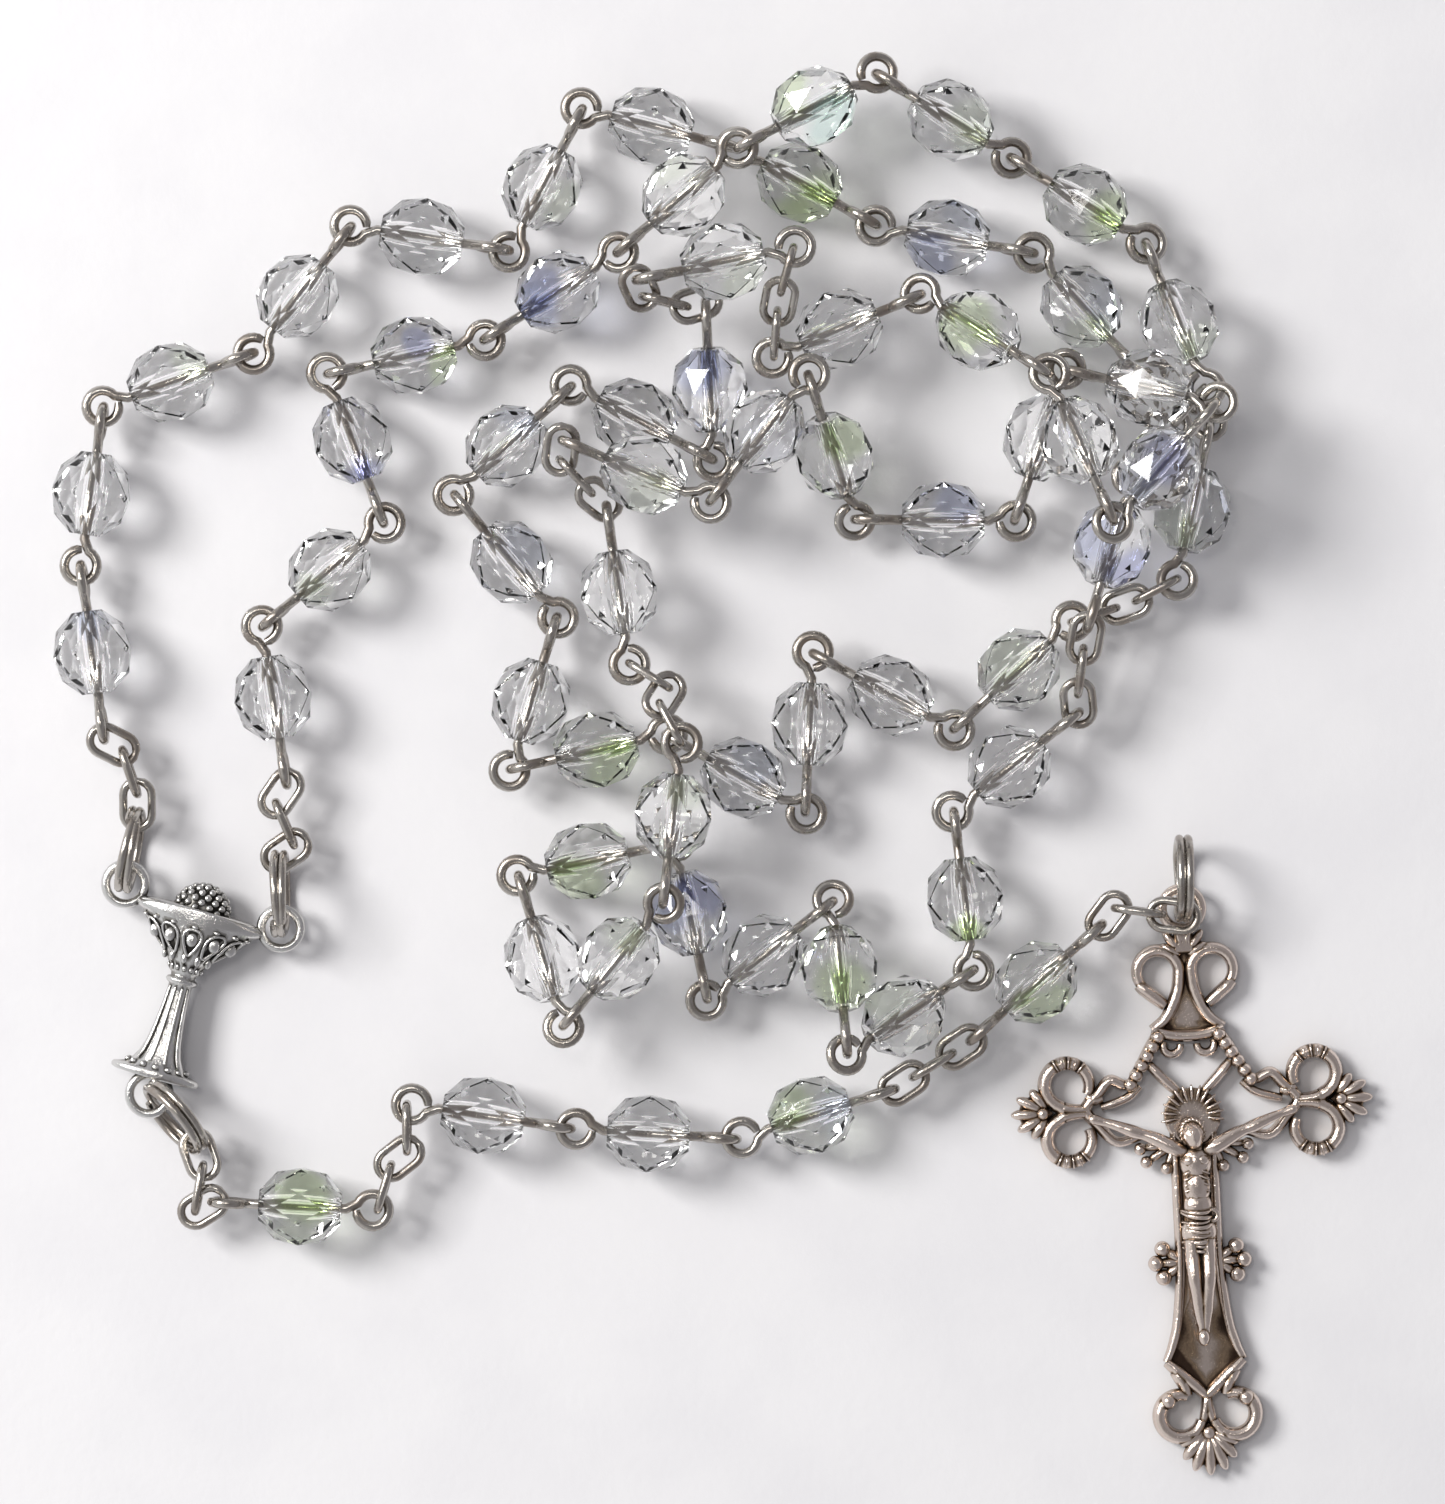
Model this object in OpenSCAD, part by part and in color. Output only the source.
/* [Beads] */
// Width of a bead across its widest facets
bead_d = 5.8; // [5:0.1:6]
// Length of a bead along its bore
bead_len = 5.8; // [5.4:0.1:6]
// Diameter of the bore through a bead
bore_d = 1.1; // [1:0.05:1.6]
// Facets around a bead
bead_sides = 8; // [6:1:10]

/* [Wire] */
// Diameter of the eye pin wire
pin_wire = 0.7; // [0.5:0.05:0.8]
// Distance from the middle of a bead to the middle of an eye
eye_x = 5.1; // [4.9:0.05:5.4]
// Diameter of an eye, measured on the middle of its wire
eye_d = 2.3; // [2.2:0.05:2.6]

/* [Chain] */
// Length of a chain link over its wire
link_len = 4.0; // [3.9:0.05:4.4]
// Width of a chain link over its wire
link_w = 2.6; // [2.5:0.05:2.8]
// Diameter of the chain wire
link_wire = 0.6; // [0.45:0.05:0.65]

/* [Jump rings] */
// Outer diameter of a jump ring
ring_d = 6.2; // [5.8:0.1:6.6]
// Diameter of the jump ring wire, which goes round twice
ring_wire = 0.6; // [0.45:0.05:0.65]

/* [Centre medal] */
// Height of the chalice from its foot to its rim
cup_h = 12.4; // [11:0.1:13]
// Width of the rim of the chalice
rim_w = 9.4; // [8:0.1:10.5]
// Thickness of the medal
medal_t = 3.4; // [3:0.1:4]

/* [Crucifix] */
// Span of the cross from tip to tip of its arms
arm_span = 25.6; // [24:0.1:26]
// Thickness of the cross
cross_t = 1.6; // [1.2:0.1:2]

/* [Hidden] */

// Every piece reaches from one joint of the strand to the next. Pieces take turns to lie flat, as a host
// whose round end the next wire passes through, and to stand upright, as a guest that hooks that end.
eye_r = eye_d / 2;
link_r = (link_w - link_wire) / 2;
link_half = (link_len - link_w) / 2;
ring_r = (ring_d - ring_wire) / 2;
pin_guest = eye_x + eye_r;
link_host = link_half;
link_guest = link_half + link_r;
link_on_ring = link_half - 0.2;
ear_r = 1.4;
ear_wire = 0.66;
ear_x = rim_w / 2 + 1.0;
ear_y = cup_h / 2 + 0.2;

// Where the strands lie, as the joints that they are aimed at: x, y, height and lean about the strand.
// The shift puts the middle of the whole layout over the origin.
shift = [1.2, -2.2, 0];
medal_at = shift + [-38.6, -14.0, 1.8];
medal_turn = -16;
cross_at = shift + [33.0, -22.0, 0];
cross_turn = 3;
left_ear = medal_point([-ear_x, ear_y]);
right_ear = medal_point([ear_x, ear_y]);
foot_ear = medal_point([0, -cup_h / 2 - 1.2]);
cross_eye = cross_point([0, 14.0], 1.3);

chain_a = [[-41.4, 1.4, 2.6, 0], [-42.4, 3.0, 2.8, 0], [-44.0, 4.0, 3.0, 0]];
decade_1 = [[-45.2, 15.0, 3, 0, 1], [-43.8, 27.0, 3, 0], [-33.0, 31.2, 3, 0], [-26.8, 39.4, 3, 0],
    [-15.6, 38.4, 3, 0], [-10.0, 48.4, 3, 0], [1.4, 45.4, 3, 0], [11.2, 39.8, 3, 0],
    [22.4, 38.0, 3.2, 0], [29.0, 30.0, 2.8, 0]];
chain_b = [[30.4, 28.6, 2.4, 0], [33.6, 26.8, 2.0, 0], [34.8, 25.6, 2.2, 0]];
our_father_1 = [[31.6, 14.2, 3.5, 0]];
chain_c = [[28.4, 13.4, 2.8, 0], [27.0, 13.0, 2.5, 0], [23.8, 12.0, 2.7, 0]];
decade_2 = [[15.6, 4.2, 3.2, 0], [5.8, 10.2, 3, 0], [5.6, -2, 3, 0], [-4.4, 4.4, 3, 0], [-15.2, 1.8, 3, 0],
    [-12.0, 12.0, 3, 0], [-18.4, 20.4, 3, 0], [-10.8, 28.8, 3, 0], [-0.8, 23.6, 2.8, 0],
    [-1.4, 35.0, 4.8, 0]];
chain_d = [[-3.4, 34.0, 5.1, 0], [-7.0, 35.2, 6.4, 0], [-6.8, 37.2, 7.2, 0]];
our_father_2 = [[4.4, 38.2, 7.4, 0]];
chain_e = [[3.8, 34.8, 6.4, 0], [3.6, 33.6, 5.7, 0], [3.4, 30.6, 4.6, 0]];
decade_3 = [[13.0, 34.8, 5.2, 0], [21.2, 30.2, 9, 0], [27.2, 18.4, 10.4, 0], [34.4, 27.6, 8.6, 0],
    [23.0, 30.0, 5, 0], [20.2, 18.8, 3, 0], [10.0, 19.4, 2.8, 0], [6.0, 28.8, 6.9, 0],
    [-1.0, 20.6, 7.2, 0], [-9.4, 24.0, 6.2, 0]];
chain_f = [[-11.6, 23.4, 5.8, 0], [-8.8, 20.6, 4.8, 0], [-7.6, 19.8, 4.2, 0]];
our_father_3 = [[-6.6, 8.4, 4.8, 0]];
chain_g = [[-5.0, 8.2, 5.6, 0], [-4.0, 7.4, 6.2, 0], [-3.6, 4.6, 7.1, 0]];
decade_4 = [[-4.2, -6.4, 7.4, 0], [-10.4, -15.0, 5.4, 0], [-14.8, -4.8, 3, 0], [-2.6, -3.2, 3.6, 0],
    [-1.2, -14.6, 3, 0], [6.4, -8.4, 3, 0], [8.6, -18.6, 6.6, 0], [17.6, -12.2, 3, 0],
    [16.2, -2.0, 3, 0], [24.6, 5.6, 3.6, 0]];
chain_h = [[24.6, 8.4, 4.2, 0], [25.2, 10.8, 5.3, 0], [25.6, 13.0, 5.6, 0]];
our_father_4 = [[28.8, 23.0, 3.9, 0]];
chain_i = [[31.0, 25.4, 4.1, 0], [32.0, 26.6, 4.5, 0], [34.4, 29.6, 5.0, 0]];
decade_5 = [[29.4, 39.4, 2.8, 0], [19.6, 45.2, 3, 0], [10.0, 51.0, 4.8, 0], [0.4, 45.0, 6.2, 0],
    [-8.4, 37.4, 4.0, 0], [-19.2, 30.6, 3, 0], [-30.0, 29.2, 3, 0], [-24.6, 20.6, 3, 0],
    [-31.2, 13.0, 3, 0], [-31.0, 1.6, 3, 0]];
pendant_1 = [[-37.0, -25.4, 2.6, 0], [-37.0, -27.4, 2.8, 0], [-36.4, -28.8, 3, 0]];
pendant_2 = [[-25.4, -29.2, 3, 0]];
pendant_3 = [[-23.8, -27.0, 3, 0], [-23.0, -25.6, 3, 0], [-22.4, -23.0, 3, 0]];
pendant_4 = [[-11.4, -23.4, 3, 0], [0.6, -24.2, 3, 0], [12.2, -20.6, 3, 0]];
pendant_5 = [[13.6, -19.6, 3, 0], [16.6, -17.8, 3, 0], [18.0, -16.8, 3, 0]];
pendant_6 = [[28.0, -7.8, 3, 0, 1]];
pendant_7 = [[28.4, -6.6, 3.2, 0], [31.0, -7.2, 3.6, 0], [32.2, -8.0, 3.8, 0]];
chain_j = [[-31.2, 0.2, 3, 0], [-31.4, -2, 3, 0], [-31, -3, 3, 0]];

// Joins the strands into the two routes, each point with the kind of piece that ends there
function links(points) = [for (p = points) [p, "link"]];
function pins(points) = [for (p = points) [p, "pin"]];

// Points of the medal and of the cross, given in the plane of each
function across(a) = [cos(a), sin(a)];
function turned(v, a) = [v.x * cos(a) - v.y * sin(a), v.x * sin(a) + v.y * cos(a)];
function medal_point(v) = [each turned(v, medal_turn), 0] + medal_at;
function cross_point(v, z) = [each turned(v, cross_turn), z] + cross_at;

// A jump ring hooks an ear at its lower side and rests on the ground: heading, lean and middle
function ring_up(a, lean) = [sin(a) * sin(lean), -cos(a) * sin(lean), cos(lean)];
function ring_along(a) = [cos(a), sin(a), 0];
function ring_height(lean) = ring_d / 2 * cos(lean) + ring_wire * abs(sin(lean));
function ring_middle(ear, a, lean, side) =
    let (rise = asin((ring_height(lean) - ear.z) / (ring_r * cos(lean))))
    ear + ring_r * (side * cos(rise) * ring_along(a) + sin(rise) * ring_up(a, lean));
function ring_joint(middle, a, lean, side, dip) =
    middle + ring_r * (side * cos(dip) * ring_along(a) - sin(dip) * ring_up(a, lean));

left_turn = 80;
left_middle = ring_middle(left_ear, left_turn, 0, 1);
left_start = ring_joint(left_middle, left_turn, 0, 1, 15);
right_turn = -90;
right_middle = ring_middle(right_ear, right_turn, 0, -1);
right_end = ring_joint(right_middle, right_turn, 0, -1, 15);
foot_turn = -50;
foot_lean = -18;
foot_middle = ring_middle(foot_ear, foot_turn, foot_lean, 1);
foot_start = ring_joint(foot_middle, foot_turn, foot_lean, 1, 15);
eye_turn = -90;
eye_middle = ring_middle(cross_eye, eye_turn, 0, -1);
eye_end = ring_joint(eye_middle, eye_turn, 0, 1, -15);

// A strand is its route, whether its first piece is a host, and the play in its eyes. Hosts and guests
// take turns. The eyes of a pin are at right angles, unless its point carries a fifth value.
function is_plain(route, i) = route[i][1] == "link" || len(route[i][0]) == 5;
function turns(route, n) = n < 1 ? 0 : turns(route, n - 1) + (is_plain(route, n - 1) ? 1 : 0);
function near_host(s, i) = (turns(s.x, i) + s.y) % 2 == 1;
function far_host(s, i) = (turns(s.x, i + 1) + s.y) % 2 == 0;
function pin_half(s, host) = host ? eye_x + s.z : pin_guest;
function link_reach(s, i, host, at_end) = at_end ? link_on_ring : host ? link_host : link_guest;
function near_half(s, i) =
    s.x[i][1] == "pin" ? pin_half(s, near_host(s, i)) : link_reach(s, i, near_host(s, i), i == 0);
function far_half(s, i) =
    s.x[i][1] == "pin" ? pin_half(s, far_host(s, i))
    : link_reach(s, i, far_host(s, i), i == len(s.x) - 1);
function length_of(s, i) = near_half(s, i) + far_half(s, i);

// Each piece starts where the last one ended and is aimed at its own point of the route
function unit(v) = v / norm(v);
function point_of(route, i) = shift + [for (k = [0:2]) route[i][0][k]];
function step(s, i, from) =
    let (goal = point_of(s.x, i), len = length_of(s, i), rise = goal.z - from.z)
    from + [each sqrt(len * len - rise * rise) * unit([goal.x - from.x, goal.y - from.y]), rise];
function joints(s, n, start) = n == 0 ? [start]
    : let (before = joints(s, n - 1, start)) concat(before, [step(s, n - 1, before[n - 1])]);

// The two last links bend at an elbow, so that the strand ends on its ring
function elbow(p, q, a, b, side) =
    let (d = norm(q - p), u = unit(q - p), along = (a * a - b * b + d * d) / (2 * d))
    p + along * u + side * sqrt(max(a * a - along * along, 0)) * unit([-u.y, u.x, 0]);
function closed(s, start, last, side) =
    let (n = len(s.x),
         open = joints(s, n - 2, start),
         bend = elbow(open[n - 2], last, length_of(s, n - 2), length_of(s, n - 1), side))
    concat(open, [bend, last]);

loop_route = concat(links(chain_a), pins(decade_1), links(chain_b), pins(our_father_1), links(chain_c),
    pins(decade_2), links(chain_d), pins(our_father_2), links(chain_e), pins(decade_3), links(chain_f),
    pins(our_father_3), links(chain_g), pins(decade_4), links(chain_h), pins(our_father_4),
    links(chain_i), pins(decade_5), links(chain_j));
pendant_route = concat(links(pendant_1), pins(pendant_2), links(pendant_3), pins(pendant_4),
    links(pendant_5), pins(pendant_6), links(pendant_7));
loop_strand = [loop_route, 1, -0.1];
pendant_strand = [pendant_route, 1, 0.35];
loop_joints = closed(loop_strand, left_start, right_end, 1);
pendant_joints = closed(pendant_strand, foot_start, eye_end, 1);

// Places the children at the middle of piece i of a strand, with X along it
module at_piece(s, ends, i) {
    d = unit(ends[i + 1] - ends[i]);
    translate(ends[i] + near_half(s, i) * d)
        rotate([0, -asin(d.z), atan2(d.y, d.x)])
            rotate([(near_host(s, i) ? 0 : 90) + s.x[i][0][3], 0, 0])
                children();
}
module at_loop(i) {
    at_piece(loop_strand, loop_joints, i) children();
}
module at_pendant(i) {
    at_piece(pendant_strand, pendant_joints, i) children();
}

// Index of the first pin of each decade and of each single bead in the loop
function decade_start(n) = 3 + (n - 1) * 17;
function single_at(n) = 16 + (n - 1) * 17;
pendant_pins = [3, 7, 8, 9, 13];
pendant_links = [0, 4, 10, 14];

// A round bead with kite facets: rings of corners at the ends, the shoulders and the girdle
bead_rings = [[-0.5, 0.4, 0.5], [-0.3, 0.82, 0], [0, 1, 0.5], [0.3, 0.82, 0], [0.5, 0.4, 0.5]];
function bead_corner(ring, k) =
    let (r = bead_d / 2 * ring[1], a = (k + ring[2]) * 360 / bead_sides)
    [ring[0] * bead_len, r * cos(a), r * sin(a)];
function bead_faces(n) = concat(
    [[for (k = [0:n - 1]) k]],
    [for (j = [0:3], k = [0:n - 1]) let (s = bead_rings[j][2] > 0, m = (k + 1) % n)
        s ? [j * n + k, (j + 1) * n + m, j * n + m] : [j * n + k, (j + 1) * n + k, j * n + m]],
    [for (j = [0:3], k = [0:n - 1]) let (s = bead_rings[j][2] > 0, m = (k + 1) % n)
        s ? [j * n + k, (j + 1) * n + k, (j + 1) * n + m] : [j * n + m, (j + 1) * n + k, (j + 1) * n + m]],
    [[for (k = [n - 1:-1:0]) 4 * n + k]]);
module bead() {
    difference() {
        polyhedron(
            points = [for (ring = bead_rings, k = [0:bead_sides - 1]) bead_corner(ring, k)],
            faces = bead_faces(bead_sides));
        rotate([0, 90, 0])
            cylinder(d = bore_d, h = bead_len + 1, center = true, $fn = 24);
    }
}

module wire_ring(radius, wire, turn = 360) {
    rotate_extrude(angle = turn, $fn = 32)
        translate([radius, 0])
            circle(d = wire, $fn = 16);
}

module eye_pin(twist) {
    rotate([0, 90, 0])
        cylinder(d = pin_wire, h = 2 * (eye_x - eye_r), center = true, $fn = 16);
    translate([-eye_x, 0, 0])
        wire_ring(eye_r, pin_wire);
    translate([eye_x, 0, 0])
        rotate([twist, 0, 0])
            wire_ring(eye_r, pin_wire);
}

module chain_link() {
    for (side = [-1, 1]) {
        translate([side * link_half, 0, 0])
            rotate([0, 0, -side * 90])
                wire_ring(link_r, link_wire, 180);
        translate([0, side * link_r, 0])
            rotate([0, 90, 0])
                cylinder(d = link_wire, h = 2 * link_half, center = true, $fn = 16);
    }
}

module jump_ring(middle, a, lean) {
    color("silver")
        translate(middle)
            rotate([0, 0, a])
                rotate([90 + lean, 0, 0])
                    for (side = [-1, 1])
                        translate([0, 0, side * ring_wire / 2])
                            wire_ring(ring_r, ring_wire + 0.02);
}

// The chalice is turned round its own axis and then flattened to the thickness of a medal
cup_profile = [[0, -0.5], [0.26, -0.5], [0.26, -0.46], [0.14, -0.4], [0.1, -0.3], [0.08, -0.12], [0.12, -0.06],
    [0.08, 0], [0.1, 0.06], [0.18, 0.16], [0.29, 0.26], [0.36, 0.38], [0.375, 0.44], [0.4, 0.45],
    [0.4, 0.5], [0, 0.5]];
module ear() {
    wire_ring(ear_r, ear_wire);
}
module centre_medal() {
    color("lightslategray")
        translate(medal_at)
            rotate([0, 0, medal_turn]) {
                intersection() {
                    rotate([-90, 0, 0])
                        rotate_extrude($fn = 48)
                            polygon([for (p = cup_profile) [p.x * rim_w / 0.8, p.y * cup_h]]);
                    cube([2 * rim_w, 2 * cup_h, medal_t], center = true);
                }
                translate([0, cup_h / 2 - 0.2, 0])
                    intersection() {
                        cylinder(r = 2, h = 1.8, center = true, $fn = 48);
                        translate([-3, 0, -2])
                            cube([6, 3, 4]);
                    }
                for (side = [-1, 1])
                    translate([side * ear_x, ear_y, 0])
                        ear();
                translate([0, -cup_h / 2 - 1.2, 0])
                    ear();
            }
}

// A flat bar with rounded ends, a flat ring, a stud and a fan of ribs lie in the plane of the cross
module bar(p, q, w, t = cross_t) {
    d = q - p;
    side = atan2(d.y, d.x) + 90;
    outline = [for (end = [0, 1]) for (k = [0:4]) (end == 0 ? p : q) + w / 2 * across(side + end * 180 + k * 45)];
    linear_extrude(t)
        polygon(outline);
}
module flat_ring(p, r, w, t = cross_t) {
    linear_extrude(t)
        difference() {
            polygon([for (k = [0:23]) p + r * across(k * 15 + 4)]);
            polygon([for (k = [0:23]) p + (r - w) * across(k * 15 + 4)]);
        }
}
module stud(p, d, t) {
    linear_extrude(t)
        polygon([for (k = [0:9]) p + d / 2 * across(k * 36 + 7)]);
}
module fan(p, heading, reach, spread, ribs) {
    for (k = [0:ribs - 1]) {
        a = heading + spread * (k / (ribs - 1) - 0.5);
        bar(p, p + reach * across(a), 0.7, 1.2);
    }
}
module both_sides() {
    for (side = [0, 1])
        mirror([side, 0, 0])
            children();
}

eye_y = 14;
arm_end = arm_span / 2;
scroll_at = [1.9, 9.6];
bell = [[0, 9.4], [0.7, 7.6], [2.6, 5.6], [0, 5.0], [-2.6, 5.6], [-0.7, 7.6]];
shaft = [[1.3, 0.5], [1.3, -11], [1.7, -15], [2.7, -18], [0, -20.6], [-2.7, -18], [-1.7, -15],
    [-1.3, -11], [-1.3, 0.5]];
module cross_side() {
    flat_ring(scroll_at, 1.9, 0.75);
    bar([3.2, 8.4], [1.6, 7.0], 0.8);
    for (k = [0:4])
        stud([2.2, 5.3] + k * [0.5, -0.85], 1.0, 1.4);
    bar([2.2, 5.3], [4.2, 1.8], 0.6, 1.0);
    bar([2.6, 2.9], [0.9, 0.9], 0.6);
    bar([4.2, 1.8], [5.7, 2.1], 0.8);
    bar([5.7, 2.1], [7.4, 0], 0.8);
    bar([7.4, 0], [5.4, -2.3], 0.8);
    bar([5.4, -2.3], [3.8, -2.0], 0.8);
    bar([7.0, 0], [1, -2.2], 1.4, 1.2);
    bar([3.8, -2.0], [1, -2.6], 1.0, 1.2);
    for (side = [-1, 1])
        flat_ring([arm_end - 4.1, side * 1.95], 2.0, 0.8);
    bar([arm_end - 5.6, 0], [arm_end - 1.6, 0], 0.7, 1.2);
    fan([arm_end - 2.2, 0], 0, 1.85, 130, 5);
    for (p = [[3.8, -2.9], [3.4, -3.8], [2.0, -4.3]]) {
        bar([1.0, -2.6], p, 0.6, 1.0);
        stud(p, 0.9, 1.1);
    }
    for (p = [[2.6, -10.0], [3.1, -11.0], [2.6, -12.0]]) {
        bar([1, -11], p, 0.7, 1.0);
        stud(p, 1.1, 1.3);
    }
    flat_ring([1.9, -21.9], 1.9, 0.85);
    bar([2.2, -18.6], [3.0, -20.2], 0.9);
}
module cross() {
    color("rosybrown")
        translate(cross_at)
            rotate([0, 0, cross_turn]) {
                translate([0, eye_y, 1.3])
                    wire_ring(ear_r, 0.7);
                translate([-0.6, eye_y - 2.4, 0])
                    cube([1.2, 1.2, 1.4]);
                fan([0, 10.8], 90, 2.0, 130, 5);
                both_sides()
                    cross_side();
                linear_extrude(cross_t)
                    polygon(bell);
                stud([0, -0.4], 4.4, 1.35);
                linear_extrude(cross_t)
                    polygon(shaft);
                bar([0, -20.4], [0, -23], 0.9);
                fan([0, -23.4], -90, 2.5, 130, 7);
            }
}

// The figure stands out from the face of the cross, each limb a round bar that is half sunk in it
module limb(p, q, d) {
    v = q - p;
    translate([p.x, p.y, cross_t + 0.02])
        rotate([0, 0, atan2(v.y, v.x)])
            difference() {
                rotate([0, 90, 0])
                    cylinder(d = d, h = norm(v), $fn = 24);
                translate([-1, -2, -4])
                    cube([norm(v) + 2, 4, 4]);
            }
}
module corpus() {
    color("sienna")
        translate(cross_at)
            rotate([0, 0, cross_turn]) {
                limb([0, -3.0], [0, -9.6], 2.2);
                both_sides() {
                    limb([0.6, -3.2], [6.8, -0.8], 1.0);
                    limb([0.5, -9.4], [0.3, -16.4], 1.0);
                }
                translate([0, -2.2, cross_t + 0.9])
                    sphere(d = 1.9, $fn = 24);
            }
}

module crystal() {
    color("lightcyan")
        bead();
}
module bead_of_loop(i) {
    at_loop(i) crystal();
}
module decade_beads(n) {
    for (k = [0:9])
        bead_of_loop(decade_start(n) + k);
}
module pin_of_loop(i) {
    color("gray")
        at_loop(i) eye_pin(is_plain(loop_route, i) ? 0 : 90);
}
module decade_pins(n) {
    for (k = [0:9])
        pin_of_loop(decade_start(n) + k);
}
module our_father_pins() {
    for (n = [1:4])
        pin_of_loop(single_at(n));
}
module loop_chain_links() {
    color("darkgray")
        for (i = [0:len(loop_route) - 1])
            if (loop_route[i][1] == "link")
                at_loop(i) chain_link();
}
module pendant_pin(n) {
    i = pendant_pins[n - 1];
    color("gray")
        at_pendant(i) eye_pin(is_plain(pendant_route, i) ? 0 : 90);
}
module pendant_bead(n) {
    at_pendant(pendant_pins[n - 1]) crystal();
}
module pendant_chain(n) {
    color("darkgray")
        for (k = [0:2])
            at_pendant(pendant_links[n - 1] + k) chain_link();
}

centre_medal();
jump_ring(left_middle, left_turn, 0);  // left_jump_ring
jump_ring(right_middle, right_turn, 0);  // right_jump_ring
jump_ring(foot_middle, foot_turn, foot_lean);  // pendant_jump_ring
jump_ring(eye_middle, eye_turn, 0);  // crucifix_jump_ring
for (k = [1:10]) {
    bead_of_loop(decade_start(1) + k - 1);
    bead_of_loop(decade_start(5) + k - 1);
}
for (n = [2:4])
    decade_beads(n);
for (n = [1:4]) {
    bead_of_loop(single_at(n));
    pendant_chain(n);
}
for (n = [1:5]) {
    decade_pins(n);
    pendant_pin(n);
    pendant_bead(n);
}
our_father_pins();
loop_chain_links();
cross();
corpus();
